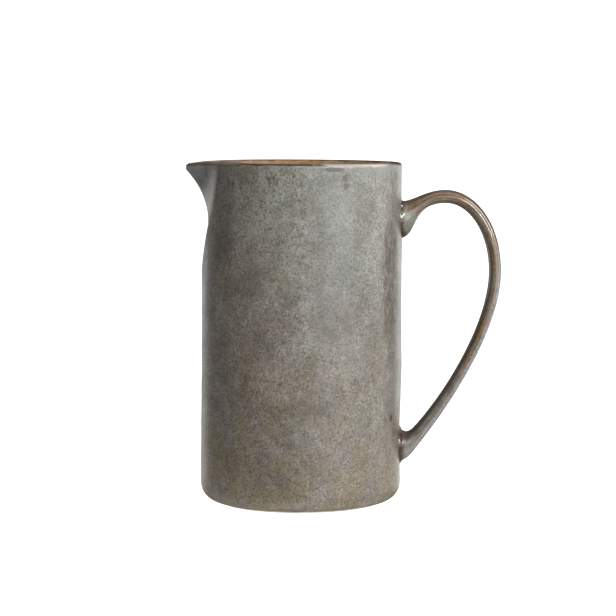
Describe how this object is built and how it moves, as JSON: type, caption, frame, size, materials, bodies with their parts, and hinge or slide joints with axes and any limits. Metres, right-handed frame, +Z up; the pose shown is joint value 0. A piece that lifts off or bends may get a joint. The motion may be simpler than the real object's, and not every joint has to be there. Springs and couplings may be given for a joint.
{
  "type": "jug",
  "caption": "Straight-sided stoneware jug with a drawn-out pouring spout and an ear-shaped strap handle, in a speckled grey-green reactive glaze over a bare clay foot.",
  "frame": {"origin": "middle of the flat standing face, on the axis of the round body", "axes": "+Z up along the axis of the body, -X towards the spout, +X towards the handle"},
  "size_m": [0.1873, 0.1186, 0.202],
  "materials": {
    "body_glaze": "satin speckled grey-green glaze, browner towards the foot",
    "handle_glaze": "glossier olive-brown glaze",
    "inner_glaze": "satin grey glaze",
    "base_clay": "unglazed cream stoneware, matt",
    "joint_slip": "fired slip under brown glaze"
  },
  "bodies": {
    "root": {"base": "base_clay", "base_slip_joint": "joint_slip", "floor_coil": "inner_glaze", "body_wall": "body_glaze", "spout": "body_glaze", "spout_slip_seam": "joint_slip", "handle": "handle_glaze", "upper_slip_joint": "joint_slip", "lower_slip_joint": "joint_slip"}
  },
  "joints": []
}
